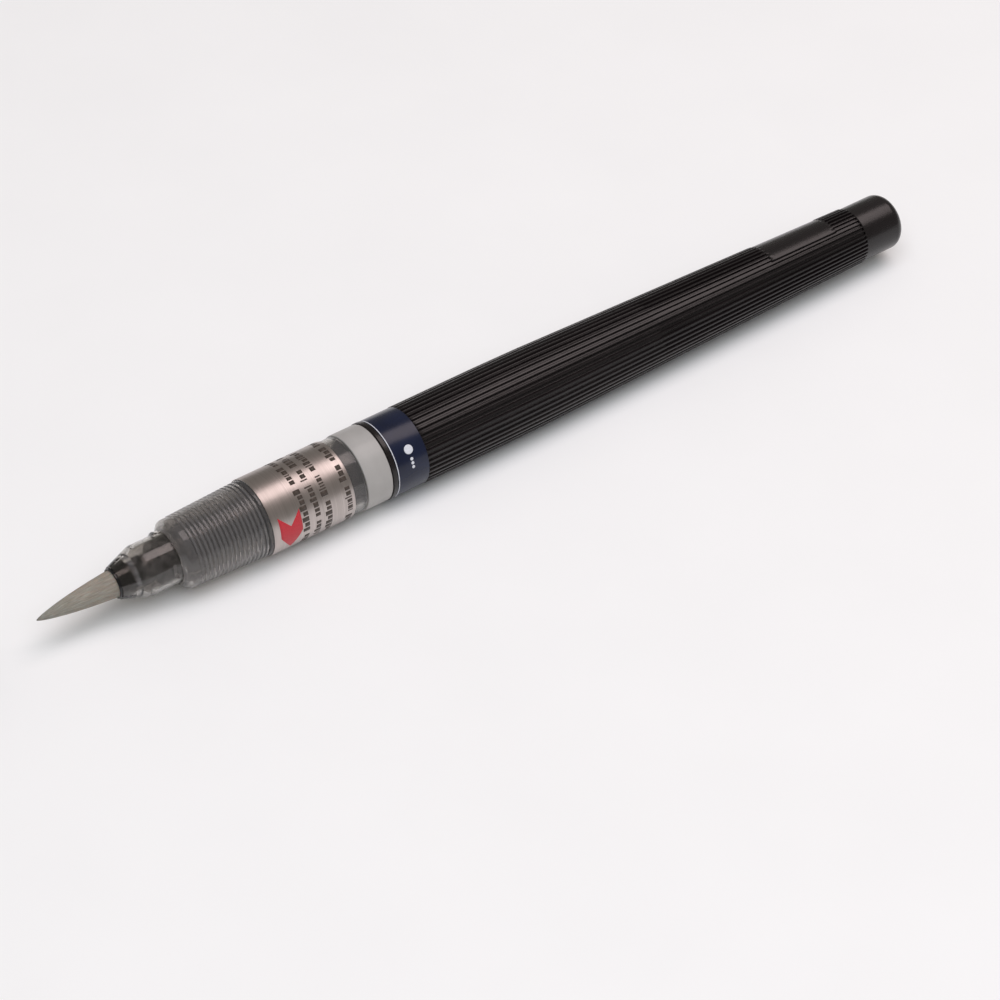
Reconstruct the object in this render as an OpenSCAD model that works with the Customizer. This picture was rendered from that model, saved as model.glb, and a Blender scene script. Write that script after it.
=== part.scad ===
// Brush pen with a squeezable screw-in ink cartridge, lying on its side with its ribbed cap pulled off.
// The pen's axis runs along X: bristles towards -X, tail towards +X. +Z is up and z = 0 is the table.
// Stations along the pen are counted in mm from the bristles' tip, and radii from the pen's axis.

/* [Brush] */
// Length of bristle outside the collar
bristle_len = 13.5; // [12:0.5:15]
// Radius of the bristle bundle where it leaves the collar
bristle_r = 2.35; // [2.1:0.05:2.4]

/* [Front section] */
// Length of the collar's thick front part, inside the nose's cone
collar_len = 2.6; // [2.2:0.1:3.2]
// Length of the clear nose from the collar's step to the grip
nose_len = 7.7; // [7.5:0.1:9]
// Radius of the clear nose, which is what the cap slides over
nose_r = 4.4; // [4.3:0.05:4.45]
// Length of the grip from its shoulder to the label
grip_len = 15.5; // [14.6:0.1:16]
// Radius of the grip just behind its shoulder
grip_front_r = 5.95; // [5.8:0.05:6.1]
// Radius of the grip where the label starts
grip_rear_r = 6.55; // [6.4:0.05:6.6]
// Number of fine rings round the grip
grip_rings = 16; // [10:1:16]
// Length of the foil label
label_len = 15.5; // [15.2:0.1:16.5]
// Outer radius over the label
label_r = 6.8; // [6.75:0.01:6.85]
// Length of bare clear wall between the label and the spacer ring
window_len = 2.6; // [2:0.1:2.7]

/* [Spacer ring] */
// Length of the spacer ring that keeps the new cartridge from being pierced
spacer_len = 4.8; // [4.2:0.1:5]

/* [Cartridge] */
// Length of the cartridge from the spacer ring to the tail
cartridge_len = 112.8; // [106:0.2:120]
// Radius over the ribs at the thickest place
barrel_r = 6.95; // [6.9:0.01:7.1]
// Radius over the ribs where they end at the tail plug
tail_r = 5.22; // [5.15:0.01:5.4]
// Number of ribs round the barrel
barrel_ribs = 42; // [30:2:44]
// Height of a rib
rib_h = 0.42; // [0.3:0.02:0.5]
// Lead of the neck's single-start thread
thread_pitch = 2.5; // [2.4:0.05:2.6]

/* [Cap] */
// Length of the cap
cap_len = 37; // [35:0.5:40]
// Radius over the cap's ribs at its mouth
cap_r = 6.4; // [6.35:0.05:6.6]
// Radius over the cap's ribs at its closed end
cap_end_r = 5.3; // [5.2:0.05:5.6]
// Number of ribs round the cap
cap_ribs = 28; // [20:2:32]
// How far ahead of the bristles the pulled-off cap's mouth stands
cap_gap = 15; // [5:1:30]

/* [Hidden] */
$fn = 64;
eps = 0.01;
slip = 0.1;                 // air gap between faces of pieces that move past each other

// Stations from the tip, worked out one behind the other
collar_x = bristle_len;
nose_x = collar_x + 0.4;    // the collar's rim stands out of the clear nose
stem_x = collar_x + collar_len;
grip_x = stem_x + nose_len;
label_x = grip_x + grip_len;
window_x = label_x + label_len;
spacer_x = window_x + window_len;
cartridge_x = spacer_x + spacer_len;
tail_x = cartridge_x + cartridge_len;
plug_x = tail_x - 9;        // the smooth tail plug's shoulder, where the ribs end
band_x = cartridge_x + 0.9;
ribs_x = cartridge_x + 7.1;

// Brush
guide_r = 0.45;
guide_bore_r = 0.2;
root_x = collar_x + 0.8;
root_len = 1.2;

// Clear nose and what it holds
collar_front_r = 2.6;
collar_rear_r = 3;
stem_neck_r = 2;            // the collar's stem, just behind the step
stem_neck_len = 1.2;
stem_r = 2.4;
nose_front_r = 2.8;
nose_cone = 4.1;            // length of the nose's front cone
nose_cavity_r = 3.75;
feed_x = stem_x + 5;
nose_rear = grip_x + 5;     // end of the nose's spigot inside the grip
lug_len = 1.5;              // snap lugs that hold the cap, just ahead of the grip
lug_h = 0.4;
lug_span = 44;              // degrees round the nose

// Grip
grip_bore_r = 5.2;
seal_bore_r = 4.78;         // the neck's seal runs in this once the spacer ring is gone
seal_bore_end = label_x + 4.5;
socket_r = 5.3;
label_t = 0.1;
window_r = label_r - 0.2;   // the bare wall is a step below the label's seat
sleeve_x = nose_rear;
sleeve_end = label_x + 1;
sleeve_r = 4.6;
sleeve_bore_r = 3.85;
plug_front = feed_x + 12.6;
pierce_end = label_x + 6.8;

// Neck and thread
neck_x = label_x + 6.6;
neck_r = 4.45;
neck_bore_r = 3.2;
neck_seal_r = 4.3;          // middle of the seal's ring
neck_seal_cord = 0.4;
male_crest = 5.05;
female_crest = 4.75;
ridge_w = 0.95;             // width of a thread ridge at its foot
ridge_tip = 0.45;
male_x = label_x + 9.4;
male_turns = 2.2;
female_x = male_x + thread_pitch / 2;   // half a lead behind, so the ridges never meet
female_turns = 2.4;

// Barrel
barrel_wall = 1.1;
seat_r = 6.72;
rim_r = 6.88;
flange_r = 6.0;
panel_from = tail_x - 29.5;
panel_to = tail_x - 14.3;
panel_mid = -24;            // degrees from the top of the barrel, towards +Y when negative
panel_span = 100;
plug_r = 5.08;              // the tail plug's head, which a sleeve can slide over
plug_edge = 2.0;            // radius of its rounded end

// Cap
cap_x = -cap_gap;           // station of the mouth with the cap pulled off
cap_bore_r = 5.25;
cap_bore_len = 10;          // the bore is straight this far in, then tapers
cap_end_wall = 1.6;
cap_bore_end_r = cap_end_r - 1.3;
cap_rib_h = 0.42;
liner_bore_r = nose_r + lug_h + 0.1;
liner_tip_r = 3.75;
liner_front = 2.6;          // from the mouth back to the liner's rim
liner_end = 18;             // from the mouth back to the liner's inner end

rib_pitch = 360 / barrel_ribs;
axis_h = barrel_r * cos(0.3 * rib_pitch);   // the pen rests on the inner edges of two ribs
mid_x = (tail_x + cap_x - cap_len) / 2;

// Lays a shape drawn along Z, with stations as heights, along the pen's axis. Its x = 0 side faces down.
module along_pen() {
    translate([-mid_x, 0, axis_h]) rotate([0, 90, 0]) children();
}

// A turned solid from an outline of [radius, station] points
module turned(outline) {
    rotate_extrude() polygon(outline);
}

module tube(r_out, r_in, from, to) {
    difference() {
        translate([0, 0, from]) cylinder(r = r_out, h = to - from);
        translate([0, 0, from - 1]) cylinder(r = r_in, h = to - from + 2);
    }
}

module rod(r, from, to) {
    translate([0, 0, from]) cylinder(r = r, h = to - from);
}

// A ring of round section
module o_ring(r_mid, r_cord, at) {
    translate([0, 0, at]) rotate_extrude() translate([r_mid, 0]) circle(r = r_cord, $fn = 32);
}

// Outline of n wedge-shaped ribs, from r_in inside the core to r_out beyond the ribs' tops, with a groove at
// the bottom. foot and top are half widths, as shares of the ribs' pitch.
function rib_star(n, r_in, r_out, foot, top) = [
    for (i = [0 : n - 1], c = [[-foot, r_in], [-top, r_out], [top, r_out], [foot, r_in]])
        let (a = (i + 0.5 + c[0]) * 360 / n) [c[1] * cos(a), c[1] * sin(a)]
];

// Section of a thread ridge, as [radius, offset along the axis], at u from 0 to 1 of its length.
// It fades in over a quarter of a turn at both ends.
function ridge_section(u, turns, r_foot, r_tip) =
    let (fade = min(1, u * turns * 4, (1 - u) * turns * 4),
         r = r_foot + (r_tip - r_foot) * max(fade, 0.05))
    [[r_foot, -ridge_w / 2], [r, -ridge_tip / 2], [r, ridge_tip / 2], [r_foot, ridge_w / 2]];

// A right-handed thread ridge: it stands outwards when r_tip is the larger radius, inwards when it is smaller
module helix_ridge(turns, r_foot, r_tip, start) {
    steps = round(turns * 24);
    outward = r_tip > r_foot;
    points = [
        for (k = [0 : steps], c = ridge_section(k / steps, turns, r_foot, r_tip))
            let (a = k / steps * turns * 360, s = start + k / steps * turns * thread_pitch)
            [c[0] * cos(a), c[0] * sin(a), s + c[1]]
    ];
    sides = [
        for (k = [0 : steps - 1], j = [0 : 3])
            let (p = 4 * k + j, q = 4 * k + (j + 1) % 4)
            outward ? [p, q, q + 4, p + 4] : [p + 4, q + 4, q, p]
    ];
    ends = outward ? [[3, 2, 1, 0], [for (j = [0 : 3]) 4 * steps + j]]
                   : [[0, 1, 2, 3], [for (j = [3 : -1 : 0]) 4 * steps + j]];
    polyhedron(points, concat(ends, sides));
}

// Brush

// A pointed brush's profile: a power curve, filled out a little in the middle
function bristle_radius(t) = bristle_r * pow(t, 0.65) * (1 + 0.05 * sin(180 * t));

module bristle_bundle() {
    steps = 12;
    outline = concat(
        [[0, 0]],
        [for (k = [0 : steps]) let (t = pow((k + 0.3) / (steps + 0.3), 1.4))
            [bristle_radius(t), t * bristle_len]],
        [[bristle_r, root_x], [0, root_x]]
    );
    color("ivory") along_pen() difference() {
        turned(outline);
        rod(guide_r, bristle_len - 4, root_x + 1);
    }
}

module bristle_root() {
    color("tan") along_pen() tube(bristle_r, guide_r, root_x, root_x + root_len);
}

module ink_guide() {
    color("whitesmoke") along_pen() tube(guide_r, guide_bore_r, bristle_len - 4, plug_front + 1);
}

module brush_collar() {
    color("black") along_pen() difference() {
        turned([
            [0, collar_x], [collar_front_r, collar_x], [collar_front_r, nose_x], [collar_rear_r, stem_x],
            [stem_neck_r, stem_x], [stem_neck_r, stem_x + stem_neck_len], [stem_r, stem_x + stem_neck_len],
            [stem_r, feed_x], [0, feed_x]
        ]);
        rod(bristle_r, collar_x - 1, root_x + root_len);
        rod(guide_r, root_x, feed_x + 1);
    }
}

// Front section

// Three lugs round the nose, each a wedge of a ring with a ramp at its front
module snap_lugs() {
    half = lug_span / 2;
    front = grip_x - lug_len;
    rear = grip_x - 0.1;
    for (turn = [12, 132, 252]) intersection() {
        turned([[nose_r - 0.2, front], [nose_r, front], [nose_r + lug_h, front + 0.5],
                [nose_r + lug_h - 0.15, rear], [nose_r - 0.2, rear]]);
        translate([0, 0, front - 1]) linear_extrude(lug_len + 1)
            polygon([[0, 0], for (k = [-1 : 1]) 8 * [cos(turn + k * half), sin(turn + k * half)]]);
    }
}

module nose_shell() {
    shoulder_x = nose_x + nose_cone;
    cavity_x = stem_x + stem_neck_len + 1;
    color("gainsboro", 0.5) along_pen() difference() {
        union() {
            turned([
                [0, nose_x], [nose_front_r, nose_x], [nose_r - 0.1, shoulder_x], [nose_r, shoulder_x + 0.6],
                [nose_r, nose_rear], [0, nose_rear]
            ]);
            snap_lugs();
        }
        turned([
            [0, nose_x - 1], [collar_front_r, nose_x - 1], [collar_front_r, nose_x], [collar_rear_r, stem_x],
            [collar_rear_r, stem_x + stem_neck_len], [nose_cavity_r, cavity_x],
            [nose_cavity_r, nose_rear + 1], [0, nose_rear + 1]
        ]);
        // four windows in the spigot, behind the grip's shoulder
        for (turn = [45, 135]) rotate(turn) translate([-6, -1.3, grip_x + 1.9]) cube([12, 2.6, 2]);
    }
}

module feed_core() {
    disc_t = 0.8;
    disc_r = nose_cavity_r - 0.05;
    web_w = 4.6;
    color("black") along_pen() difference() {
        union() {
            rod(stem_r, feed_x, plug_front);
            for (at = [feed_x, feed_x + 3.4, feed_x + 6.8, plug_front - 2.4]) rod(disc_r, at, at + disc_t);
            intersection() {
                rod(disc_r, feed_x, plug_front);
                for (turn = [0, 90]) rotate(turn) translate([-5, -web_w / 2, feed_x]) cube([10, web_w, 12.6]);
            }
        }
        rod(guide_r, feed_x - 1, plug_front + 1);
        // vents through the discs, where the air gets past
        for (turn = [45 : 90 : 315]) rotate(turn) translate([3.2, 0, feed_x - 1]) cylinder(r = 0.35, h = 14);
    }
}

module inner_sleeve() {
    color("gainsboro", 0.5) along_pen() difference() {
        turned([[0, sleeve_x], [sleeve_r, sleeve_x],
                [sleeve_r, sleeve_end - 1.4], [grip_bore_r, sleeve_end - 1.4],
                [grip_bore_r, sleeve_end], [0, sleeve_end]]);
        rod(sleeve_bore_r, sleeve_x - 1, sleeve_end - 1.4);
        rod(1.2, sleeve_x, sleeve_end + 1);
    }
}

module flow_plug() {
    color("black") along_pen() difference() {
        turned([[0, plug_front], [2.4, plug_front], [sleeve_bore_r - 0.1, plug_front + 0.9],
                [sleeve_bore_r - 0.1, sleeve_end - 2.4], [0, sleeve_end - 2.4]]);
        rod(guide_r, plug_front - 1, plug_front + 1);
        rod(0.3, plug_front, sleeve_end);
        o_ring(sleeve_bore_r - 0.5, 0.5, plug_front + 2.2);
    }
}

module feed_seal() {
    color("dimgray") along_pen() o_ring(sleeve_bore_r - 0.5, 0.5, plug_front + 2.2);
}

module piercing_tube() {
    flange_r = 2.2;
    color("whitesmoke") along_pen() difference() {
        union() {
            rod(flange_r, sleeve_end - 2.4, sleeve_end - 1.4);
            rod(1.2, sleeve_end - 1.5, pierce_end);
        }
        rod(0.45, sleeve_end - 3, pierce_end + 1);
        // slanted cutting point
        translate([0, 0, pierce_end]) rotate([0, 35, 0]) translate([-4, -4, 0]) cube([8, 8, 4]);
    }
}

module grip_shell() {
    shoulder = 1.0;
    lip_r = nose_r + 0.3;
    ring_pitch = (grip_len - 3) / grip_rings;
    rings_x = grip_x + 2.3;
    ring_h = 0.13;
    edge_r = grip_rear_r + 0.05;    // the little step that the label butts against
    function side_r(s) =
        grip_front_r + (grip_rear_r - grip_front_r) * (s - grip_x - shoulder) / (grip_len - shoulder);
    outline = concat(
        [[nose_r, grip_x], [lip_r, grip_x], [grip_front_r, grip_x + shoulder]],
        [for (k = [0 : grip_rings - 1], c = [[0.1, 0], [0.3, ring_h], [0.7, ring_h], [0.9, 0]])
            let (s = rings_x + (k + c[0]) * ring_pitch) [side_r(s) + c[1] - ring_h / 2, s]],
        [[edge_r, label_x - 0.55], [edge_r, label_x],
         [label_r - label_t, label_x], [label_r - label_t, window_x],
         [window_r, window_x], [window_r, spacer_x - slip], [socket_r, spacer_x - slip],
         [socket_r, seal_bore_end], [seal_bore_r, seal_bore_end], [seal_bore_r, sleeve_end],
         [grip_bore_r, sleeve_end],
         [grip_bore_r, grip_x + 1.6], [nose_r, grip_x + 0.9]]
    );
    color("gainsboro", 0.5) along_pen() union() {
        turned(outline);
        helix_ridge(female_turns, socket_r + 0.15, female_crest, female_x);
    }
}

module barrel_label() {
    color("silver") along_pen() tube(label_r, label_r - label_t, label_x + 0.05, window_x);
}

// Spacer ring

module spacer_ring() {
    color("white") along_pen() turned([
        [socket_r, spacer_x], [label_r - 0.15, spacer_x], [label_r, spacer_x + 0.15],
        [label_r, cartridge_x - 0.15], [label_r - 0.15, cartridge_x], [socket_r, cartridge_x]
    ]);
}

// Cartridge

module cartridge_neck() {
    collar_end = cartridge_x + 4;
    color("black") along_pen() difference() {
        union() {
            rod(neck_r, neck_x, collar_end);
            rod(flange_r, cartridge_x + slip, collar_end);
            helix_ridge(male_turns, neck_r - 0.15, male_crest, male_x);
        }
        rod(neck_bore_r, neck_x - 1, collar_end + 1);
        o_ring(neck_seal_r, neck_seal_cord, neck_x + 1.1);
    }
}

module neck_seal() {
    color("dimgray") along_pen() o_ring(neck_seal_r, neck_seal_cord, neck_x + 1.1);
}

module cartridge_stopper() {
    color("whitesmoke") along_pen() difference() {
        rod(neck_bore_r, neck_x + 1, neck_x + 3);
        rod(neck_bore_r - 0.8, neck_x + 1.7, neck_x + 4);
    }
}

// Radius over the barrel's ribs: a slight swelling, then a long straight taper to the tail plug
function barrel_outline(drop) = [
    for (p = [[ribs_x, barrel_r - 0.05], [tail_x - 89, barrel_r],
              [tail_x - 80, barrel_r - 0.07], [plug_x, tail_r]])
        [p[1] - drop, p[0]]
];

module barrel_ribs_only() {
    star = rib_star(barrel_ribs, 3, barrel_r + 1, 0.28, 0.2);
    intersection() {
        turned(concat([[0, ribs_x]], barrel_outline(0), [[0, plug_x]]));
        translate([0, 0, ribs_x]) linear_extrude(plug_x - ribs_x) polygon(star);
    }
}

// The wedge that holds the smooth panel near the tail, grown by some on every side
module panel_wedge(grow) {
    half = panel_span / 2 + grow * 8;
    r = barrel_r + 2;
    from = panel_from - grow;
    translate([0, 0, from]) linear_extrude(panel_to - panel_from + 2 * grow)
        polygon([[0, 0], for (k = [-2 : 2]) let (a = 180 + panel_mid + k * half / 2) [r * cos(a), r * sin(a)]]);
}

module cartridge_barrel() {
    root = barrel_outline(rib_h);
    inside = barrel_outline(rib_h + barrel_wall);
    color("black") along_pen() difference() {
        union() {
            turned(concat([[0, cartridge_x + slip], [rim_r, cartridge_x + slip], [rim_r, band_x],
                           [seat_r, band_x], [seat_r, ribs_x]], root, [[0, plug_x]]));
            difference() {
                barrel_ribs_only();
                panel_wedge(0);
            }
            intersection() {
                turned(concat([[0, ribs_x]], barrel_outline(0.1), [[0, plug_x]]));
                panel_wedge(0);
            }
        }
        rod(flange_r, cartridge_x - 1, cartridge_x + 4);
        turned(concat([[0, cartridge_x + 3], [flange_r - 0.4, cartridge_x + 3], [flange_r - 0.4, ribs_x]],
                      inside, [[0, plug_x]]));
        rod(tail_r - rib_h - barrel_wall, plug_x - 3, plug_x + 1);
    }
}

module colour_band() {
    color("midnightblue") along_pen() tube(seat_r + 0.12, seat_r, band_x + 0.1, ribs_x);
}

module tail_plug() {
    color("black") along_pen() union() {
        rod(tail_r - rib_h - barrel_wall, plug_x - 5, plug_x + eps);
        rotate_extrude() {
            translate([0, plug_x]) square([plug_r, tail_x - plug_x - plug_edge]);
            translate([0, plug_x]) square([plug_r - plug_edge, tail_x - plug_x]);
            translate([plug_r - plug_edge, tail_x - plug_edge]) circle(r = plug_edge);
        }
    }
}

// Cap

module cap_shell() {
    closed_x = cap_x - cap_len;
    star = rib_star(cap_ribs, 3, cap_r + 1, 0.3, 0.2);
    color("black") along_pen() difference() {
        union() {
            turned([[0, closed_x], [cap_end_r - cap_rib_h, closed_x], [cap_r - cap_rib_h, cap_x], [0, cap_x]]);
            intersection() {
                turned([[0, closed_x], [cap_end_r - 0.2, closed_x], [cap_end_r, closed_x + 0.2],
                        [cap_r, cap_x - 0.2], [cap_r - 0.2, cap_x], [0, cap_x]]);
                translate([0, 0, closed_x]) linear_extrude(cap_len) polygon(star);
            }
        }
        turned([[0, closed_x + cap_end_wall], [cap_bore_end_r, closed_x + cap_end_wall],
                [cap_bore_r, cap_x - cap_bore_len], [cap_bore_r, cap_x + 1], [0, cap_x + 1]]);
    }
}

module cap_liner() {
    rim_x = cap_x - liner_front;
    step_x = cap_x - nose_len - 0.2;
    end_x = cap_x - liner_end;
    taper = (cap_bore_r - cap_bore_end_r) / (cap_len - cap_bore_len - cap_end_wall);
    end_r = cap_bore_r - taper * (liner_end - cap_bore_len);
    color("dimgray") along_pen() turned([
        [cap_bore_r, rim_x], [liner_bore_r, rim_x], [liner_bore_r, step_x + 1.4], [liner_tip_r, step_x],
        [liner_tip_r, end_x], [end_r, end_x], [cap_bore_r, cap_x - cap_bore_len]
    ]);
}

bristle_bundle();
bristle_root();
ink_guide();
brush_collar();
nose_shell();
feed_core();
inner_sleeve();
flow_plug();
feed_seal();
piercing_tube();
grip_shell();
barrel_label();
spacer_ring();
cartridge_neck();
neck_seal();
cartridge_stopper();
cartridge_barrel();
colour_band();
tail_plug();
cap_shell();
cap_liner();
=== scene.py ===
import bpy
import math
import numpy as np
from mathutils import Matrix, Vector


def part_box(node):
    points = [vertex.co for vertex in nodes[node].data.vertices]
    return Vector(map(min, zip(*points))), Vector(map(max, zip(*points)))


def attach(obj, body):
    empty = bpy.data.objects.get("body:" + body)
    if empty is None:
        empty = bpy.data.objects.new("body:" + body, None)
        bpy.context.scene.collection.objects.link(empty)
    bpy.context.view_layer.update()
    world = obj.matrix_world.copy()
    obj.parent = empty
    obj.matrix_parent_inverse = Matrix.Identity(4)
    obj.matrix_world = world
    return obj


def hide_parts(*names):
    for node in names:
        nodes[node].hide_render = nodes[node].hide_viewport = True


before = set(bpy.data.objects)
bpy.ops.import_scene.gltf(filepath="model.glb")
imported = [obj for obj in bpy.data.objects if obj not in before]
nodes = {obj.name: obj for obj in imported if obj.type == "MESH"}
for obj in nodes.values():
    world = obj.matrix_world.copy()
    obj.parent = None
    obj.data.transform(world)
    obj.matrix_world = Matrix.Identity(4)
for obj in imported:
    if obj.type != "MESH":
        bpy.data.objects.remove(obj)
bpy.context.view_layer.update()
mm = 0.001


# First and last x of a node
def nodeEnds(name):
    low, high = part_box(name)
    return low.x, high.x


# Largest radius of a node that lies on the pen's axis
def nodeRadius(name):
    low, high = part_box(name)
    return (high.y - low.y) / 2


axisHeight = (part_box("barrel_label")[0].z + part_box("barrel_label")[1].z) / 2
tipX = nodeEnds("bristle_bundle")[0]
labelStart, labelEnd = nodeEnds("barrel_label")
labelRadius = nodeRadius("barrel_label")
ribsEnd = nodeEnds("cartridge_barrel")[1]
plugEnd = nodeEnds("tail_plug")[1]

# Angles round the pen are counted from the top (+Z) towards the near side (-Y)


# Points of a surface round the pen: along by x, out by radius, round by angle from the top
def aroundAxis(x, radius, angle):
    x, radius, angle = np.broadcast_arrays(x, radius, angle)
    return np.stack([x, -radius * np.sin(angle), axisHeight + radius * np.cos(angle)], axis=-1)


# 0 below 0, 1 above 1, and 3v^2 - 2v^3 between
def smoothStep(value):
    v = np.clip(value, 0, 1)
    return v * v * (3 - 2 * v)


# How far each column lies from its rib's middle, as a share of half a pitch: 0 on the rib, 1 between ribs.
# The ribs lie half a pitch off the bottom, so the pen stands on two of them.
def fromRib(angle, ribs):
    return np.abs((angle * ribs / (2 * np.pi)) % 1 - 0.5) * 2


# One mesh object from points and blocks of faces, riding on a body and standing for CAD nodes.
# Edges sharper than the angle stop the smooth shading.
def addPiece(name, points, blocks, body, material, stands=(), sharpAngle=None):
    mesh = bpy.data.meshes.new(name)
    faces = [face for block in blocks for face in block.tolist()]
    mesh.from_pydata(points.reshape(-1, 3).tolist(), [], faces)
    mesh.validate()
    mesh.polygons.foreach_set("use_smooth", np.ones(len(mesh.polygons), bool))
    mesh.materials.append(material)
    piece = bpy.data.objects.new(name, mesh)
    bpy.context.scene.collection.objects.link(piece)
    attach(piece, body)
    if stands:
        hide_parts(*stands)
    if sharpAngle:
        mesh.set_sharp_from_angle(angle=math.radians(sharpAngle))
    return piece


# A turned surface: point (i, j) = (x_i, radius_ij) turned by 360 j / columns degrees. The radius may vary
# round the axis. The profile is a closed loop, or its two ends are closed onto a pole each.
def latheParts(x, radius, columns=192, closedLoop=True):
    radius = np.asarray(radius, float).reshape(len(x), -1)
    rows = len(x)
    angle = np.arange(columns)[None, :] * (2 * np.pi / columns)
    points = aroundAxis(np.reshape(x, (-1, 1)), radius, angle).reshape(-1, 3)
    i = np.arange(rows if closedLoop else rows - 1)[:, None]
    j = np.arange(columns)[None, :]
    beside = (j + 1) % columns
    ahead = ((i + 1) % rows) * columns
    quads = np.stack([i * columns + j, i * columns + beside, ahead + beside, ahead + j], axis=-1)
    blocks = [quads.reshape(-1, 4)]
    if not closedLoop:
        poles = aroundAxis(np.array([x[0], x[-1]]), np.zeros(2), np.zeros(2))
        points = np.concatenate([points, poles])
        j, beside, last = j[0], beside[0], (rows - 1) * columns
        pole = np.full(columns, rows * columns)
        blocks.append(np.stack([pole, beside, j], axis=-1))
        blocks.append(np.stack([pole + 1, last + j, last + beside], axis=-1))
    return points, blocks


# Corners are (x, radius, fillet). Each corner becomes an arc of that fillet, tangent to both its sides: the
# arc starts and ends fillet / tan(half the corner's angle) from the corner.
def roundedProfile(corners, steps=6):
    corners = np.asarray(corners, float)
    path = []
    for i, (x, radius, fillet) in enumerate(corners):
        here = np.array([x, radius])
        if fillet == 0 or i in (0, len(corners) - 1):
            path.append(here[None, :])
            continue
        back, ahead = corners[i - 1, :2] - here, corners[i + 1, :2] - here
        backLength, aheadLength = np.linalg.norm(back), np.linalg.norm(ahead)
        back, ahead = back / backLength, ahead / aheadLength
        half = math.acos(np.clip(back @ ahead, -1, 1)) / 2
        reach = min(fillet / math.tan(half), 0.45 * backLength, 0.45 * aheadLength)
        bisector = (back + ahead) / np.linalg.norm(back + ahead)
        centre = here + bisector * reach / math.cos(half)
        start = here + back * reach - centre
        end = here + ahead * reach - centre
        turn = math.atan2(start[0] * end[1] - start[1] * end[0], start @ end)
        swing = np.linspace(0, turn, steps + 1)
        path.append(centre + np.stack([start[0] * np.cos(swing) - start[1] * np.sin(swing),
                                       start[0] * np.sin(swing) + start[1] * np.cos(swing)], axis=-1))
    return np.concatenate(path)


# Several (points, blocks) pairs as one, with the faces' indices moved on
def joinParts(parts):
    points = [partPoints.reshape(-1, 3) for partPoints, _ in parts]
    offsets = np.cumsum([0] + [len(partPoints) for partPoints in points])
    moved = [block + offset for (_, blocks), offset in zip(parts, offsets) for block in blocks]
    return np.concatenate(points), moved


# A thin closed slab that lies round the pen: x and angle are grids that fill its outline by two parameters,
# and it reaches from radius inner to radius outer
def wrappedSlab(x, angle, inner, outer):
    rows, columns = x.shape
    points = np.stack([aroundAxis(x, outer, angle), aroundAxis(x, inner, angle)])
    index = np.arange(rows * columns).reshape(rows, columns)
    top = np.stack([index[:-1, :-1], index[:-1, 1:], index[1:, 1:], index[1:, :-1]], axis=-1).reshape(-1, 4)
    rim = np.concatenate([index[0], index[1:, -1], index[-1, -2::-1], index[-2:0:-1, 0]])
    after = np.roll(rim, -1)
    below = rows * columns
    side = np.stack([rim, rim + below, after + below, after], axis=-1)
    return points, [np.concatenate([top, top[:, ::-1] + below, side])]


# sRGB hex to linear RGBA
def linearColour(hexText):
    values = [int(hexText[i:i + 2], 16) / 255 for i in (1, 3, 5)]
    return [v / 12.92 if v <= 0.04045 else ((v + 0.055) / 1.055) ** 2.4 for v in values] + [1.0]


# Adds a node with its settings and links. A key is a socket's name or number, or else a property of the node;
# "stops" are a colour ramp's positions and hex colours.
def addNode(tree, kind, settings=(), links=()):
    node = tree.nodes.new(kind)
    for key, value in dict(settings).items():
        if key == "stops":
            elements = node.color_ramp.elements
            elements[0].position, elements[1].position = value[0][0], value[-1][0]
            for position, hexText in value[1:-1]:
                elements.new(position)
            for element, (position, hexText) in zip(elements, value):
                element.color = linearColour(hexText)
        elif isinstance(key, int) or key in node.inputs:
            node.inputs[key].default_value = value
        else:
            setattr(node, key, value)
    for key, source in dict(links).items():
        tree.links.new(source, node.inputs[key])
    return node


def newMaterial(name):
    material = bpy.data.materials.new(name)
    material.use_nodes = True
    material.node_tree.nodes.clear()
    return material, material.node_tree


# A pattern of clouds or streaks: noise on object coordinates, with so many cycles per mm along each axis
def streaks(tree, perMm, detail=3.0, roughness=0.55):
    coords = addNode(tree, "ShaderNodeTexCoord")
    mapping = addNode(tree, "ShaderNodeMapping", {"Scale": [cycles / mm for cycles in perMm]},
                      {"Vector": coords.outputs["Object"]})
    noise = addNode(tree, "ShaderNodeTexNoise", {"Scale": 1.0, "Detail": detail, "Roughness": roughness},
                    {"Vector": mapping.outputs["Vector"]})
    return noise.outputs["Fac"]


# Injection-moulded plastic: its colour clouds faintly where the melt flowed, and the mould's fine grain
# spreads the gloss
def mouldedPlastic(name, colours, cloud, fine, roughness, grainDepth, specular=0.5):
    material, tree = newMaterial(name)
    grain = streaks(tree, fine, detail=2.0)
    colour = addNode(tree, "ShaderNodeValToRGB", {"stops": [(0.3, colours[0]), (0.7, colours[1])]},
                     {"Fac": streaks(tree, cloud)})
    gloss = addNode(tree, "ShaderNodeMapRange", {"To Min": roughness[0], "To Max": roughness[1]},
                    {"Value": grain})
    relief = addNode(tree, "ShaderNodeBump", {"Distance": grainDepth * mm}, {"Height": grain})
    shader = addNode(tree, "ShaderNodeBsdfPrincipled", {"Specular IOR Level": specular},
                     {"Base Color": colour.outputs["Color"], "Roughness": gloss.outputs["Result"],
                      "Normal": relief.outputs["Normal"]})
    addNode(tree, "ShaderNodeOutputMaterial", links={"Surface": shader.outputs[0]})
    return material


dropRadius = 3.8 * mm      # just inside the nose shell's inner wall


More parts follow.
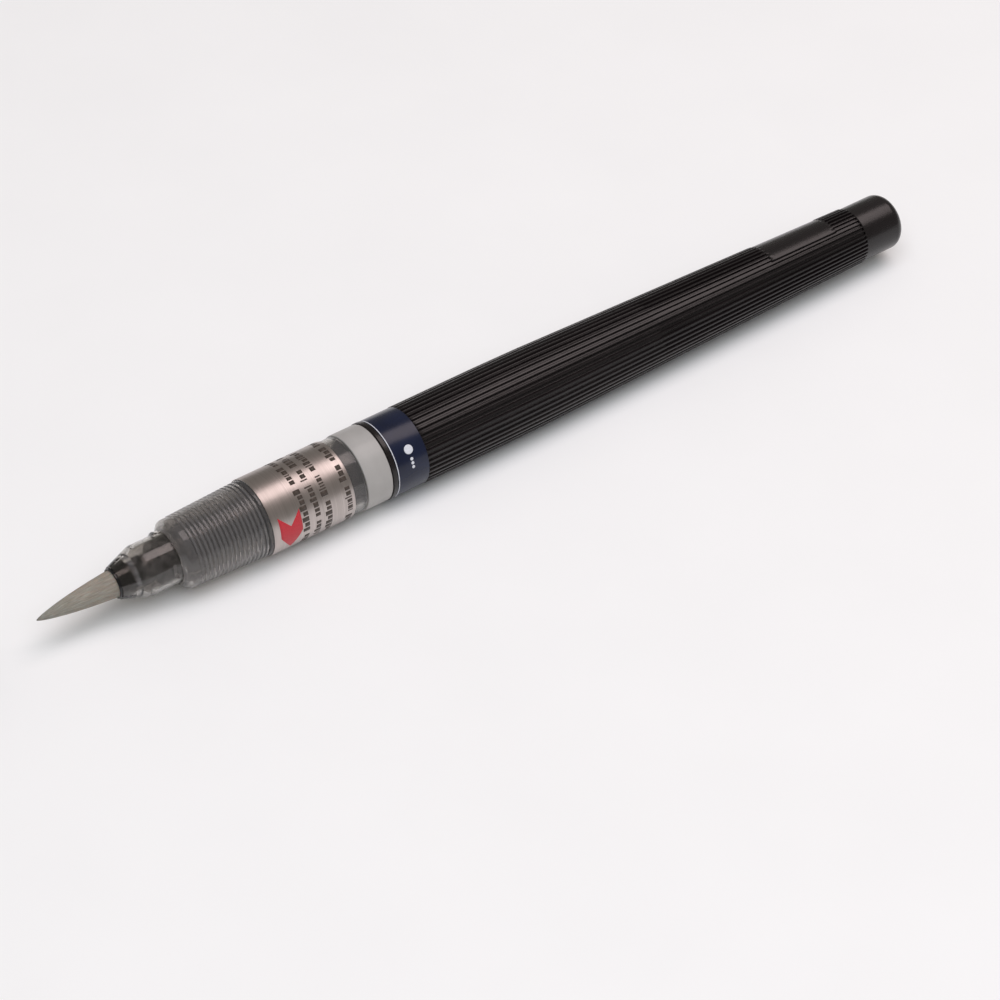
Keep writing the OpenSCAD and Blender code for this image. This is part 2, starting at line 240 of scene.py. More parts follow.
# Fine drops on the inner wall, within dropRadius of the axis and from startX on: their share of the surface
def vapourFilm(tree, startX):
    coords = addNode(tree, "ShaderNodeTexCoord").outputs["Object"]
    across = addNode(tree, "ShaderNodeMapping", {"Location": (0, 0, -axisHeight), "Scale": (0, 1, 1)},
                     {"Vector": coords})
    away = addNode(tree, "ShaderNodeVectorMath", {"operation": "LENGTH"}, {0: across.outputs["Vector"]})
    inside = addNode(tree, "ShaderNodeMapRange",
                     {"From Min": dropRadius, "From Max": dropRadius + 0.1 * mm, "To Min": 1, "To Max": 0},
                     {"Value": away.outputs["Value"]})
    along = addNode(tree, "ShaderNodeSeparateXYZ", links={"Vector": coords})
    behind = addNode(tree, "ShaderNodeMapRange", {"From Min": startX, "From Max": startX + 0.3 * mm},
                     {"Value": along.outputs["X"]})
    drops = addNode(tree, "ShaderNodeTexNoise", {"Scale": 1.1 / mm, "Detail": 3.0}, {"Vector": coords})
    spread = addNode(tree, "ShaderNodeMapRange",
                     {"From Min": 0.35, "From Max": 0.65, "To Min": 0.04, "To Max": 0.34},
                     {"Value": drops.outputs["Fac"]})
    place = addNode(tree, "ShaderNodeMath", {"operation": "MULTIPLY"},
                    {0: inside.outputs["Result"], 1: behind.outputs["Result"]})
    share = addNode(tree, "ShaderNodeMath", {"operation": "MULTIPLY"},
                    {0: place.outputs[0], 1: spread.outputs["Result"]})
    return share.outputs[0]


# Smoky clear polystyrene, moulded and polished: it shows what is inside, a little greyed, under a hard gloss.
# Lamps' rays go straight through, so that what is inside is lit. The frost range is the least and most share of
# a grey frost layer, by a point attribute of the mesh; on the grip this is painted highlight on the ring tops
# and painted shade in the grooves. From x = mistedFrom on, ink vapour has left a film inside.
def clearStyrene(name, tint, roughness, cloud, paintedRingFrost=None, mistedFrom=None):
    material, tree = newMaterial(name)
    gloss = addNode(tree, "ShaderNodeMapRange", {"To Min": roughness[0], "To Max": roughness[1]},
                    {"Value": streaks(tree, cloud)})
    body = addNode(tree, "ShaderNodeBsdfPrincipled",
                   {"Base Color": linearColour(tint), "Transmission Weight": 1.0, "IOR": 1.49},
                   {"Roughness": gloss.outputs["Result"]})
    # painted highlight and shade: more grey frost on the grip's ring tops, less in its grooves
    if paintedRingFrost:
        scuff = addNode(tree, "ShaderNodeAttribute", {"attribute_name": "scuff"})
        share = addNode(tree, "ShaderNodeMapRange", {"To Min": paintedRingFrost[0], "To Max": paintedRingFrost[1]},
                        {"Value": scuff.outputs["Fac"]}).outputs["Result"]
    if mistedFrom:
        share = vapourFilm(tree, mistedFrom)
    if paintedRingFrost or mistedFrom:
        frost = addNode(tree, "ShaderNodeBsdfPrincipled",
                        {"Base Color": linearColour("#8d8b8c"), "Roughness": 0.35})
        body = addNode(tree, "ShaderNodeMixShader", links={0: share, 1: body.outputs[0], 2: frost.outputs[0]})
    through = addNode(tree, "ShaderNodeBsdfTransparent", {"Color": linearColour(tint)})
    path = addNode(tree, "ShaderNodeLightPath")
    mix = addNode(tree, "ShaderNodeMixShader",
                  links={0: path.outputs["Is Shadow Ray"], 1: body.outputs[0], 2: through.outputs[0]})
    addNode(tree, "ShaderNodeOutputMaterial", links={"Surface": mix.outputs[0]})
    return material


# Aluminised film, brushed round the pen: fine lines round the circumference spread the shine along it.
# The real lines are about 0.05 mm apart and are drawn three times as coarse, so that they show.
def brushedFoil():
    material, tree = newMaterial("brushedFoil")
    lines = streaks(tree, (7, 0.06, 0.06), detail=4.0, roughness=0.7)
    colour = addNode(tree, "ShaderNodeValToRGB",
                     {"stops": [(0.25, "#ada5a1"), (0.55, "#beb5b1"), (0.8, "#d0c7c4")]}, {"Fac": lines})
    gloss = addNode(tree, "ShaderNodeMapRange", {"To Min": 0.3, "To Max": 0.42},
                    {"Value": streaks(tree, (0.5, 0.1, 0.1))})
    relief = addNode(tree, "ShaderNodeBump", {"Distance": 0.006 * mm}, {"Height": lines})
    shader = addNode(tree, "ShaderNodeBsdfPrincipled", {"Metallic": 1.0},
                     {"Base Color": colour.outputs["Color"], "Roughness": gloss.outputs["Result"],
                      "Normal": relief.outputs["Normal"]})
    addNode(tree, "ShaderNodeOutputMaterial", links={"Surface": shader.outputs[0]})
    return material


# Screen-printed ink: an even film, a little thinner in places, and duller than what it is printed on
def printedInk(name, low, high, roughness):
    material, tree = newMaterial(name)
    cover = streaks(tree, (4, 4, 4))
    colour = addNode(tree, "ShaderNodeValToRGB", {"stops": [(0.3, low), (0.7, high)]}, {"Fac": cover})
    gloss = addNode(tree, "ShaderNodeMapRange", {"To Min": roughness - 0.05, "To Max": roughness + 0.08},
                    {"Value": cover})
    shader = addNode(tree, "ShaderNodeBsdfPrincipled", links={
        "Base Color": colour.outputs["Color"], "Roughness": gloss.outputs["Result"]})
    addNode(tree, "ShaderNodeOutputMaterial", links={"Surface": shader.outputs[0]})
    return material


# Nylon filaments, extruded and drawn to a point: off-white, a little see-through, silky along their length
def nylonFilament():
    material, tree = newMaterial("nylonFilament")
    hair = streaks(tree, (0.12, 5, 5))
    colour = addNode(tree, "ShaderNodeValToRGB",
                     {"stops": [(0.25, "#83796e"), (0.5, "#968b80"), (0.8, "#aaa094")]}, {"Fac": hair})
    gloss = addNode(tree, "ShaderNodeMapRange", {"To Min": 0.35, "To Max": 0.6}, {"Value": hair})
    shader = addNode(tree, "ShaderNodeBsdfPrincipled",
                     {"Subsurface Weight": 0.25, "Subsurface Scale": 0.4 * mm, "Sheen Weight": 0.2},
                     {"Base Color": colour.outputs["Color"], "Roughness": gloss.outputs["Result"]})
    addNode(tree, "ShaderNodeOutputMaterial", links={"Surface": shader.outputs[0]})
    return material


# Polypropylene of the squeezable barrel: brown-black, satin from a finely spark-eroded mould
barrelPlastic = mouldedPlastic("barrelPolypropylene", ("#0f0b0c", "#171213"), (0.05, 0.4, 0.4),
                               (0.8, 6, 6), (0.2, 0.32), 0.008, specular=0.46)
# The cap is the same resin in a deeper black, duller with handling
capPlastic = mouldedPlastic("capPolypropylene", ("#0b0b0b", "#121212"), (0.1, 0.4, 0.4), (1, 6, 6),
                            (0.3, 0.5), 0.01, specular=0.4)
# Black ABS of the collar and the feed, from a polished mould: nearly a mirror at a low angle
blackAbs = mouldedPlastic("blackAbs", ("#0b0b0c", "#131315"), (0.3, 0.3, 0.3), (3, 3, 3), (0.12, 0.25), 0.003)
# White polypropylene of the spacer ring, moulded satin
whitePlastic = mouldedPlastic("whitePolypropylene", ("#a19e9b", "#a8a5a2"), (0.3, 0.15, 0.15), (4, 4, 4),
                              (0.32, 0.42), 0.004)
# Nitrile rubber of the seals, pressed in a blasted mould: dark grey and dull
sealRubber = mouldedPlastic("nitrileRubber", ("#1c1c1d", "#262627"), (0.5, 0.5, 0.5), (5, 5, 5),
                            (0.55, 0.75), 0.006)
# Cast resin that locks the filaments' ends: amber and half glossy
rootResin = mouldedPlastic("rootResin", ("#a89b80", "#b8ab91"), (0.5, 0.5, 0.5), (4, 4, 4),
                           (0.35, 0.5), 0.006)
# Gloss-laminated navy film, printed solid
navyFilm = mouldedPlastic("navyFilm", ("#10162a", "#161e38"), (0.2, 0.3, 0.3), (3, 1, 1),
                          (0.2, 0.28), 0.003, specular=0.4)
# Its frost share paints highlight on the ring tops and shade in the grooves
clearGrip = clearStyrene("smokyStyreneGrip", "#cdc8c2", (0.06, 0.14), (0.25, 0.5, 0.5),
                         paintedRingFrost=(0.12, 0.27))
clearNose = clearStyrene("smokyStyreneNose", "#d2cec9", (0.04, 0.1), (0.4, 0.5, 0.5),
                         mistedFrom=tipX + 16 * mm)
clearInner = clearStyrene("clearStyreneInner", "#dedbd7", (0.08, 0.16), (0.4, 0.5, 0.5))
foil = brushedFoil()
darkInk = printedInk("darkInk", "#3c332d", "#4a4039", 0.45)
redInk = printedInk("redInk", "#b3202c", "#c22936", 0.4)
whiteInk = printedInk("whiteInk", "#c9cbd2", "#dcdee4", 0.4)
nylon = nylonFilament()
print("materials made")

# CAD nodes whose shape is right keep their mesh and take a finished material
for nodeName, material in {
    "bristle_root": rootResin, "ink_guide": whitePlastic, "feed_core": blackAbs, "inner_sleeve": clearInner,
    "nose_shell": clearNose, "flow_plug": blackAbs, "feed_seal": sealRubber, "piercing_tube": whitePlastic,
    "cartridge_neck": blackAbs, "neck_seal": sealRubber, "cartridge_stopper": rootResin,
    "cap_liner": sealRubber,
}.items():
    nodes[nodeName].data.materials.clear()
    nodes[nodeName].data.materials.append(material)


bristles = {
    "radius": 2.33 * mm,       # at the collar
    "inCollar": 0.8 * mm,
    "filaments": 210,
    "thickness": 0.085 * mm,   # half of a filament's; real ones are finer
    "rows": 22, "sides": 5,
    "core": 0.93,              # the solid middle, as a share of the bundle's radius
    "lean": 0.22 * mm,         # how far the tip has been pushed sideways in use
    "seed": 4,
}


# Radius share at t from tip (0) to collar (1): t to the power 0.65, filled out a little in the middle
def bristleProfile(t):
    return t ** 0.65 * (1 + 0.05 * np.sin(np.pi * t))


# Pushes points down and away from the near side by lean * (1 - t)^2, so the tip moves most
def leanOver(points, t):
    lean = bristles["lean"] * (1 - np.clip(t, 0, 1)) ** 2
    points[..., 2] -= lean * 0.8
    points[..., 1] += lean * 0.2


# A bundle of tapered filaments over a solid core. Each filament keeps its share of the bundle's radius and
# its angle, so all of them meet at the tip: centre(t) = share * profile(t), with a small wave of its own.
def makeBristles():
    b = bristles
    rng = np.random.default_rng(b["seed"])
    start, end = tipX, nodeEnds("brush_collar")[0] + b["inCollar"]
    t = np.linspace(0.0, 1.0, 40) ** 1.5
    coreStart = start + 0.3 * mm
    coreRadius = b["radius"] * bristleProfile(t) * b["core"] + 0.001 * mm
    core, coreBlocks = latheParts(coreStart + t * (end - coreStart), coreRadius, 48, closedLoop=False)
    leanOver(core, (core[:, 0] - start) / (end - start))

    count, rows, sides = b["filaments"], b["rows"], b["sides"]
    turn = np.arange(count) * (2 * np.pi / count) + rng.normal(0, 0.012, count)
    share = 0.955 + rng.uniform(-0.02, 0.02, count)
    reach = rng.uniform(0.0, 0.07, count) ** 1.4          # filaments end at slightly different lengths
    t = reach[:, None] + (1 - reach[:, None]) * np.linspace(0, 1, rows)[None, :] ** 1.3
    wave = 0.006 * np.sin(t * 9 + turn[:, None] * 7)
    radius = b["radius"] * bristleProfile(t) * (share[:, None] + wave * 0.5)
    angle = turn[:, None] + 0.08 * np.sin(5 * turn)[:, None] * (1 - t) + wave
    thick = b["thickness"] * (0.18 + 0.82 * np.clip(t * 3, 0, 1))
    around = np.arange(sides) * (2 * np.pi / sides)
    outward = thick[..., None] * np.cos(around)
    sideways = thick[..., None] * np.sin(around) / np.maximum(radius[..., None], 0.05 * mm)
    points = aroundAxis((start + t * (end - start))[..., None], np.maximum(radius[..., None] + outward, 0),
                        angle[..., None] + sideways)
    leanOver(points, t[..., None])
    i = np.arange(rows - 1)[:, None] * sides
    j = np.arange(sides)[None, :]
    beside = (j + 1) % sides
    quads = np.stack([i + j, i + beside, i + sides + beside, i + sides + j], axis=-1).reshape(-1, 4)
    ends = np.stack([np.arange(sides)[::-1], np.arange((rows - 1) * sides, rows * sides)])
    parts = [(core, coreBlocks)] + [(filament, [quads, ends]) for filament in points]
    points, blocks = joinParts(parts)
    addPiece("bristles", points, blocks, "front", nylon, ["bristle_bundle"])


makeBristles()
print("bristles made")


collar = {
    "bore": 2.36, "boreDepth": 2.0, "front": 2.58, "rimLength": 0.4,      # all in mm
    "rear": 2.98, "step": 2.6, "stemNeck": 2.02, "stemStart": 3.8, "stem": 2.38, "inkPath": 0.5,
}


# Turned: a bore that holds the bristles, a rounded front rim, a cone inside the nose, and a narrower stem
def makeCollar():
    c = collar
    start, end = np.array(nodeEnds("brush_collar")) / mm
    step, stem = start + c["step"], start + c["stemStart"]
    loop = roundedProfile([
        (start + c["boreDepth"], c["bore"], 0), (start + 0.01, c["bore"], 0.04),
        (start + 0.02, c["front"], 0.08), (start + c["rimLength"], c["front"], 0.1),
        (step, c["rear"], 0.06), (step + 0.01, c["stemNeck"], 0),
        (stem, c["stemNeck"], 0), (stem + 0.01, c["stem"], 0.05), (end - 0.01, c["stem"], 0.05),
        (end - 0.02, c["inkPath"], 0), (start + c["boreDepth"] + 0.1, c["inkPath"], 0)]) * mm
    points, blocks = latheParts(loop[:, 0], loop[:, 1], 128)
    addPiece("collar", points, blocks, "front", blackAbs, ["brush_collar"], 40)


makeCollar()

grip = {
    "rings": 16, "grooveDepth": 0.2,       # sizes in mm
    "ringsFrom": 2.3, "ringsBefore": 0.75,      # from the front, and short of the label
    "shoulder": 1.0, "front": 5.93, "rear": 6.53, "ringLift": 0.06,
    "noseBore": 4.41, "lip": 4.7, "inside": 5.2, "edge": 6.59, "labelSeat": 0.1,
    "socket": 5.31, "socketDepth": 4.5, "sealBore": 4.79,
}


# Closed profile: outside from the nose to the spacer ring, then back along the bore. Between the rings lie
# grooves: radius = taper line + lift - depth * smoothStep of how near the place is to a groove's middle.
# The rings' tops get the most grey frost, a painted highlight, and the grooves' middles the least, painted
# shade;
# the shoulder gets less than the ring tops and the bore less again.
def makeGrip():
    g = grip
    start, end = np.array(nodeEnds("grip_shell")) / mm
    labelFront, labelRear = labelStart / mm, labelEnd / mm
    ringsFrom, ringsTo = start + g["ringsFrom"], labelFront - g["ringsBefore"]
    shoulder = start + g["shoulder"]

    def side(x):
        return g["front"] + (g["rear"] - g["front"]) * (x - shoulder) / (labelFront - shoulder)

    ringX = np.linspace(ringsFrom, ringsTo, g["rings"] * 14 + 1)
    place = (ringX - ringsFrom) / (ringsTo - ringsFrom) * g["rings"]
    groove = smoothStep((np.abs(2 * (place % 1) - 1) - 0.45) / 0.4)
    ringRadius = side(ringX) + g["ringLift"] - g["grooveDepth"] * groove
    head = roundedProfile([
        (start + 1.6, g["inside"], 0), (start + 0.9, g["noseBore"], 0.1), (start, g["noseBore"], 0.03),
        (start, g["lip"], 0.12), (shoulder, side(shoulder), 0.7), (ringsFrom - 0.05, side(ringsFrom), 0)])
    seat = labelRadius / mm - g["labelSeat"]
    tail = roundedProfile([
        (ringsTo + 0.05, side(ringsTo), 0), (labelFront - 0.5, g["edge"], 0.1),
        (labelFront - 0.05, g["edge"], 0.05), (labelFront, seat, 0), (labelRear, seat, 0),
        (labelRear + 0.02, seat - 0.1, 0), (end, seat - 0.1, 0.15), (end, g["socket"], 0.1),
        (labelFront + g["socketDepth"], g["socket"], 0),
        (labelFront + g["socketDepth"] - 0.05, g["sealBore"], 0), (labelFront + 1.0, g["sealBore"], 0),
        (labelFront + 0.95, g["inside"], 0)])
    loop = np.concatenate([head, np.stack([ringX, ringRadius], axis=-1), tail]) * mm
    columns = 160
    points, blocks = latheParts(loop[:, 0], loop[:, 1], columns)
    piece = addPiece("gripShell", points, blocks, "front", clearGrip, ["grip_shell"], 50)
    # Frost share per profile point: 1 on the ring tops and 0 in the grooves, as painted highlight and painted
    # shade
    scuff = np.concatenate([np.full(len(head), 0.4), 1 - groove, np.full(len(tail), 0.2)])
    piece.data.attributes.new("scuff", "FLOAT", "POINT").data.foreach_set("value", np.repeat(scuff, columns))


makeGrip()

label = {
    "rows": (6.2, 8.35, 10.5, 14.4),     # mm from the label's front edge to each printed row's middle
    "from": -62, "to": 150,              # degrees round the pen that the rows cover
    "low": 0.45, "tall": 0.62,           # half heights of the blocks, in mm
    "widths": (2.0, 5.0, 6.0, 7.0), "gap": 1.9, "wordGap": 6.5,      # degrees; one is 0.12 mm
    "seed": 11,
    "arrowFrom": 1.2, "arrowWidth": 4.1,      # mm
    "arrowTop": 59, "arrowNotch": 19, "arrowStraight": 33, "arrowPoint": 28,      # degrees
}


# A ring of film round the axis, with its edges just rounded
def filmRing(x0, x1, outer, thickness, edge):
    return roundedProfile([(x0, outer - thickness, 0), (x0, outer, edge), (x1, outer, edge),
                           (x1, outer - thickness, 0)])


def makeLabel():
    loop = filmRing(labelStart, labelEnd, labelRadius - 0.02 * mm, 0.08 * mm, 0.03 * mm)
    points, blocks = latheParts(loop[:, 0], loop[:, 1], 256)
    addPiece("foilLabel", points, blocks, "front", foil, ["barrel_label"], 40)


# Rows of plain blocks that stand for small print, and a notched arrow that shows which way to turn. A block
# is a grid between two x values and two angles; the arrow's runs from a V-shaped tail to a V-shaped point:
# tail(u) = top + notch * (1 - |2u - 1|), point(u) = top + straight + point * (1 - |2u - 1|).
def makeLabelPrint():
    rng = np.random.default_rng(label["seed"])
    inner, outer = labelRadius - 0.06 * mm, labelRadius - 0.008 * mm
    parts = []
    for row in label["rows"]:
        middle = labelStart + row * mm
        at = label["from"] + rng.uniform(0, 6)
        while at < label["to"]:
            for block in range(int(rng.integers(3, 9))):
                width = rng.choice(label["widths"])
                tall = rng.uniform() < 0.3
                half = label["tall" if tall else "low"] * mm
                shift = half - label["low"] * mm if tall else 0.0      # a tall block keeps the row's foot
                x = np.linspace(-half, half, 2)[:, None] + middle - shift + np.zeros((2, 3))
                a = np.radians(at + np.linspace(0, width, 3))[None, :] + np.zeros((2, 3))
                parts.append(wrappedSlab(x, a, inner, outer))
                at += width + label["gap"]
            at += label["wordGap"]
    points, blocks = joinParts(parts)
    addPiece("labelSmallPrint", points, blocks, "front", darkInk)

    u = np.linspace(0, 1, 9)[:, None]
    v = np.linspace(0, 1, 61)[None, :]
    edge = 1 - np.abs(2 * u - 1)
    tail = label["arrowTop"] + label["arrowNotch"] * edge
    point = label["arrowTop"] + label["arrowStraight"] + label["arrowPoint"] * edge
    a = np.radians(tail + v * (point - tail))
    x = labelStart + (label["arrowFrom"] + label["arrowWidth"] * u) * mm + np.zeros_like(a)
    points, blocks = wrappedSlab(x, a, inner, outer + 0.004 * mm)
    addPiece("labelArrow", points, blocks, "front", redInk)


makeLabel()
makeLabelPrint()
print("front section made")


ring = {"wall": 1.48 * mm, "edge": 0.18 * mm, "facets": 18, "facetDepth": 0.025 * mm}


# A plain ring with eased edges, its outside very slightly faceted as a thin moulding is:
# radius = r - facetDepth * (1 - |cos(facets / 2 * angle)|)
def makeRing():
    start, end = nodeEnds("spacer_ring")
    outer = nodeRadius("spacer_ring") - 0.02 * mm
    loop = filmRing(start, end, outer, ring["wall"], ring["edge"])
    columns = 12 * ring["facets"]
    angle = np.arange(columns) * (2 * np.pi / columns)
    facet = ring["facetDepth"] * (1 - np.abs(np.cos(ring["facets"] / 2 * angle)))
    onOutside = loop[:, 1][:, None] > outer - ring["edge"]
    points, blocks = latheParts(loop[:, 0], loop[:, 1][:, None] - facet[None, :] * onOutside, columns)
    addPiece("spacerRing", points, blocks, "ring", whitePlastic, ["spacer_ring"], 40)


makeRing()

barrel = {
    "ribs": 42, "ribHeight": 0.42,      # sizes in mm
    "radiusPlaces": (105.7, 89, 80, 9), "radii": (6.9, 6.95, 6.88, 5.22),      # places from the tail's end
    "panelFrom": 29.5, "panelTo": 14.3, "panelDrop": 0.1,
    "panelMiddle": -24, "panelWidth": 100,      # degrees
    "rim": 6.88, "bandSeat": 6.71, "socket": 6.0, "socketDepth": 4.0,
}


# Outside: radius(x, angle) = side(x) - ribHeight * groove(angle), where side is a slight swelling and then a
# straight taper, and groove = smoothStep of how far the angle is from the rib's middle. On the smooth panel
# the grooves fade out. The front ends in a plain rim, and the loop goes back in through the socket for the neck.
def makeBarrel():
    b = barrel
    start, end, tail = nodeEnds("cartridge_barrel")[0] / mm, ribsEnd / mm, plugEnd / mm
    bandFront, bandRear = np.array(nodeEnds("colour_band")) / mm
    panelFrom, panelTo = tail - b["panelFrom"], tail - b["panelTo"]
    columns = b["ribs"] * 12
    angle = np.arange(columns) * (2 * np.pi / columns)
    groove = smoothStep((fromRib(angle, b["ribs"]) - 0.30) / 0.32)
    x = np.concatenate([
        bandRear + np.array([0.0, 0.05, 0.12]),
        np.linspace(bandRear + 1, panelFrom - 0.4, 60),
        panelFrom + np.array([-0.15, 0.0, 0.1, 0.2, 0.35]),
        np.linspace(panelFrom + 1, panelTo - 1, 14),
        panelTo + np.array([-0.35, -0.2, -0.1, 0.0, 0.15]),
        np.linspace(panelTo + 0.8, end - 0.15, 6),
        end + np.array([-0.06, 0.0])])
    side = np.interp(x, tail - np.array(b["radiusPlaces"]), b["radii"])
    side[[0, 1, -2, -1]] -= 0.12, 0.04, 0.02, 0.08      # eased ends
    fromMiddle = np.abs((np.degrees(angle) - b["panelMiddle"] + 180) % 360 - 180)
    across = smoothStep((b["panelWidth"] / 2 - fromMiddle) / 2)
    along = smoothStep((x - panelFrom) / 0.35) * smoothStep((panelTo - x) / 0.35)
    onPanel = along[:, None] * across[None, :]
    radius = side[:, None] - b["ribHeight"] * groove[None, :] * (1 - onPanel) - b["panelDrop"] * onPanel
    rim = roundedProfile([
        (start + b["socketDepth"], b["socket"], 0), (start, b["socket"], 0.08), (start, b["rim"], 0.1),
        (bandFront - 0.1, b["rim"], 0.05), (bandFront - 0.1, b["bandSeat"], 0),
        (bandRear - 0.01, b["bandSeat"], 0)])
    inside = np.array([(end, 4.2), (end - 5, 3.4), (end - 5.1, 0.2), (start + b["socketDepth"] + 0.2, 0.2)])
    allX = np.concatenate([rim[:, 0], x, inside[:, 0]])
    plain = np.ones((1, columns))
    allRadius = np.concatenate([rim[:, 1:] * plain, radius, inside[:, 1:] * plain])
    points, blocks = latheParts(allX * mm, allRadius * mm, columns)
    addPiece("ribbedBarrel", points, blocks, "cartridge", barrelPlastic,
             ["cartridge_barrel"], 60)


makeBarrel()

band = {
    "film": 0.108 * mm, "edgeLine": (0.06, 0.22),      # mm from the band's front edge
    "marksAt": 3.1, "angle": 50,
    "marks": ((0, 0.8), (14, 0.28), (20, 0.28), (26, 0.28)),      # degrees past the angle, radius in mm
}


# A film ring, a thin pale edge line at its front, and four plain discs. A disc is a square grid drawn out:
# (u, v) goes to (u * sqrt(1 - v^2 / 2), v * sqrt(1 - u^2 / 2)).
def makeBand():
    start, end = nodeEnds("colour_band")
    radius = nodeRadius("colour_band")
    loop = filmRing(start, end, radius - 0.012 * mm, band["film"], 0.04 * mm)
    points, blocks = latheParts(loop[:, 0], loop[:, 1], 256)
    addPiece("colourBand", points, blocks, "cartridge", navyFilm, ["colour_band"], 40)

    inner, outer = radius - 0.05 * mm, radius - 0.001 * mm
    allRound = np.linspace(0, 2 * np.pi, 257)[None, :] + np.zeros((2, 1))
    line = start + np.array(band["edgeLine"])[:, None] * mm + np.zeros_like(allRound)
    parts = [wrappedSlab(line, allRound, inner, outer)]
    u, v = np.meshgrid(np.linspace(-1, 1, 9), np.linspace(-1, 1, 9), indexing="ij")
    across, along = u * np.sqrt(1 - v * v / 2), v * np.sqrt(1 - u * u / 2)
    for at, size in band["marks"]:
        x = start + (band["marksAt"] + across * size) * mm
        a = np.radians(band["angle"] + at) + along * size * mm / radius
        parts.append(wrappedSlab(x, a, inner, outer))
    points, blocks = joinParts(parts)
    addPiece("bandPrint", points, blocks, "cartridge", whiteInk)


makeBand()

tailPlug = {"stem": 3.55 * mm, "centre": 0.4 * mm, "roundEnd": 1.95 * mm}


# A turned plug with a straight head, a rounded end and a stem inside the barrel
def makeTailPlug():
    start, end = nodeEnds("tail_plug")
    stem, centre, head = tailPlug["stem"], tailPlug["centre"], nodeRadius("tail_plug")
    loop = roundedProfile([
        (start, centre, 0), (start, stem, 0.2 * mm), (ribsEnd, stem, 0),
        (ribsEnd + 0.01 * mm, head - 0.06 * mm, 0), (ribsEnd + 0.12 * mm, head, 0.05 * mm),
        (end, head, tailPlug["roundEnd"]), (end, centre, 0)], steps=14)
    points, blocks = latheParts(loop[:, 0], loop[:, 1], 128, closedLoop=False)
    addPiece("tailPlug", points, blocks, "cartridge", barrelPlastic, ["tail_plug"], 50)


makeTailPlug()
print("cartridge made")

cap = {
    "ribs": 28, "ribHeight": 0.42, "endRadius": 5.3,      # sizes in mm
    "bore": 5.25, "boreStraight": 10, "endWall": 1.6, "boreEnd": 4.0, "mouth": 5.75,
    "easeAt": (0.0, 0.04, 0.12, 0.3), "easeBy": (0.26, 0.12, 0.03, 0.0),      # rounding of both rims
}


# Profile: the end's pole, the scalloped edge, the ribbed side, the mouth's rim, and back along the bore to a
# second pole. radius(x, angle) = taper(x) - rounding of the rims - ribHeight * groove(angle).
def makeCap():
    c = cap
    start, end = np.array(nodeEnds("cap_shell")) / mm
    columns = c["ribs"] * 14
    angle = np.arange(columns) * (2 * np.pi / columns)
    groove = smoothStep((fromRib(angle, c["ribs"]) - 0.30) / 0.34)
    x = np.concatenate([start + np.array(c["easeAt"]), np.linspace(start + 1, end - 1, 34),
                        end - np.array([0.35, 0.14, 0.05, 0.0])])
    side = c["endRadius"] + (nodeRadius("cap_shell") / mm - c["endRadius"]) * (x - start) / (end - start)
    side -= np.interp(np.minimum(x - start, end - x), c["easeAt"], c["easeBy"])
    outer = side[:, None] - c["ribHeight"] * groove[None, :]
    plain = np.ones((1, columns))
    face = np.array([(start, 1.5), (start, 4.3)])
    bore = roundedProfile([
        (end, c["mouth"], 0), (end, c["bore"], 0.15), (end - c["boreStraight"], c["bore"], 0),
        (start + c["endWall"], c["boreEnd"], 0.4), (start + c["endWall"], 0.5, 0)])
    allX = np.concatenate([face[:, 0], x, bore[:, 0]])
    allRadius = np.concatenate([face[:, 1:] * plain, outer, bore[:, 1:] * plain])
    points, blocks = latheParts(allX * mm, allRadius * mm, columns, closedLoop=False)
    addPiece("capShell", points, blocks, "cap", capPlastic, ["cap_shell"], 60)


makeCap()
print("cap made")

view = {
    "azimuth": -36.18, "elevation": 42.12, "distance": 467.5 * mm, "lens": 104.4,
    "target": (12.5 * mm, -19.83 * mm, axisHeight - 0.13 * mm),
}
studio = {
    "highlightBox": {"direction": (0.438, -0.069, 0.896), "distance": 1.2, "size": (0.7, 0.9), "power": 4.6,
                     "colour": "#ffefee", "shines": True},
    "fill": {"direction": (-0.2, -0.4, 1.0), "distance": 1.6, "size": (1.6, 1.6), "power": 20.5,
             "colour": "#f4f8ff", "shines": False},      # lights surfaces but isn't seen in them
    "roomColour": "#efebe4", "roomStrength": 0.28,
    "floorHalf": 3.0,
}


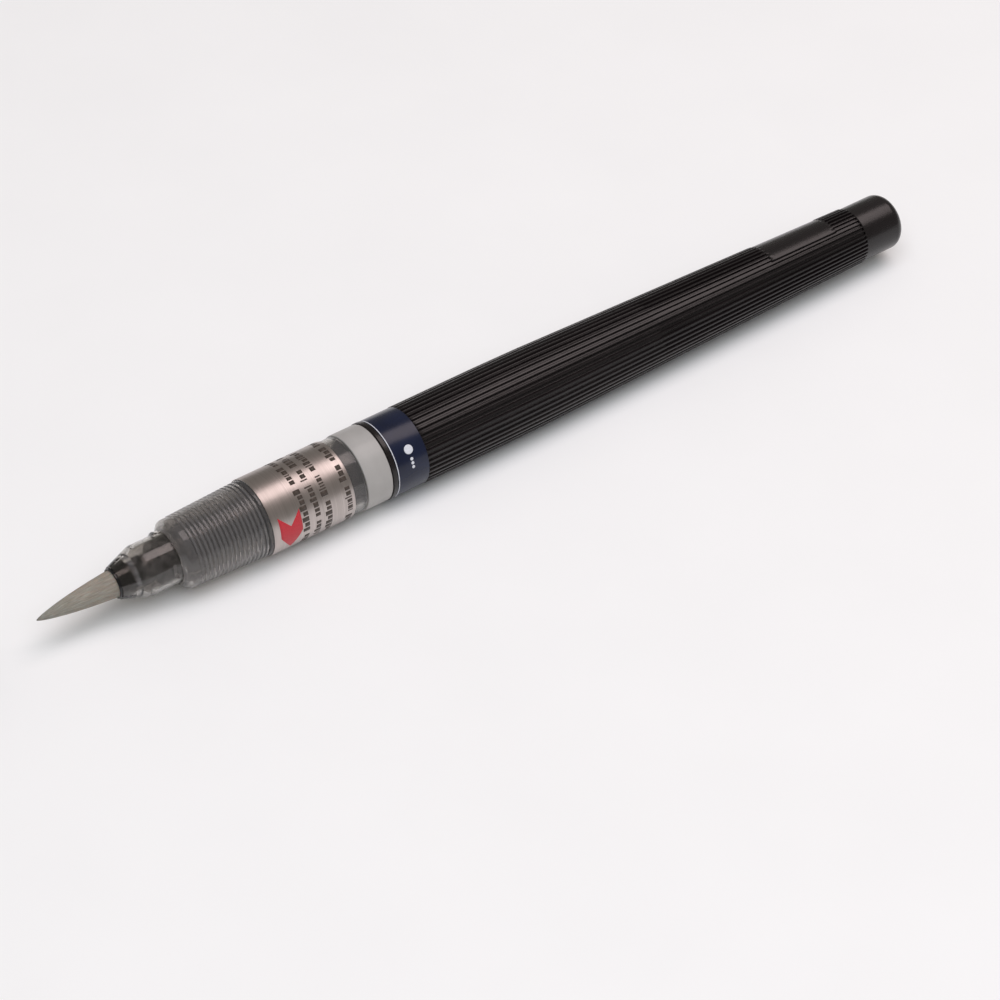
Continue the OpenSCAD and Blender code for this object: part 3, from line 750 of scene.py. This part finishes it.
# Painted board, rolled: pale and dull, with the roller's faint clouds
def makeFloor():
    half = studio["floorHalf"]
    mesh = bpy.data.meshes.new("floor")
    corners = [(-half, -half, 0), (half, -half, 0), (half, half, 0), (-half, half, 0)]
    mesh.from_pydata(corners, [], [(0, 1, 2, 3)])
    floor = bpy.data.objects.new("floor", mesh)
    bpy.context.scene.collection.objects.link(floor)
    material, tree = newMaterial("paintedBoard")
    colour = addNode(tree, "ShaderNodeValToRGB", {"stops": [(0.3, "#f4f4f3"), (0.7, "#f6f6f5")]},
                     {"Fac": streaks(tree, (0.03, 0.03, 0.03))})
    shader = addNode(tree, "ShaderNodeBsdfPrincipled", {"Roughness": 0.8, "Specular IOR Level": 0.2},
                     {"Base Color": colour.outputs["Color"]})
    addNode(tree, "ShaderNodeOutputMaterial", links={"Surface": shader.outputs[0]})
    mesh.materials.append(material)


# Puts a camera or lamp at a place, looking at a target, upright
def aim(thing, place, target):
    thing.location = Vector(place)
    thing.rotation_euler = (Vector(target) - Vector(place)).to_track_quat("-Z", "Y").to_euler()


def makeLights():
    for name in ("highlightBox", "fill"):
        values = studio[name]
        lamp = bpy.data.lights.new(name, "AREA")
        lamp.shape = "RECTANGLE"
        lamp.size, lamp.size_y = values["size"]
        lamp.energy = values["power"]
        lamp.color = linearColour(values["colour"])[:3]
        holder = bpy.data.objects.new(name, lamp)
        bpy.context.scene.collection.objects.link(holder)
        holder.visible_glossy = values["shines"]
        holder.visible_transmission = values["shines"]
        aim(holder, Vector(values["direction"]).normalized() * values["distance"], (0, 0, 0))
    world = bpy.data.worlds.new("studio")
    bpy.context.scene.world = world
    world.use_nodes = True
    background = world.node_tree.nodes["Background"]
    background.inputs["Color"].default_value = linearColour(studio["roomColour"])
    background.inputs["Strength"].default_value = studio["roomStrength"]


# Looks at the target from the azimuth, counted from -Y towards +X, and the elevation
def makeCamera():
    camera = bpy.data.cameras.new("camera")
    camera.lens = view["lens"]
    camera.sensor_width = 36
    camera.clip_start = 0.01
    camera.clip_end = 20
    holder = bpy.data.objects.new("camera", camera)
    bpy.context.scene.collection.objects.link(holder)
    a, e = math.radians(view["azimuth"]), math.radians(view["elevation"])
    towards = Vector((math.sin(a) * math.cos(e), -math.cos(a) * math.cos(e), math.sin(e)))
    target = Vector(view["target"])
    aim(holder, target + towards * view["distance"], target)
    bpy.context.scene.camera = holder


makeFloor()
makeLights()
makeCamera()
bpy.context.scene.view_settings.view_transform = "Standard"
print("stage made")
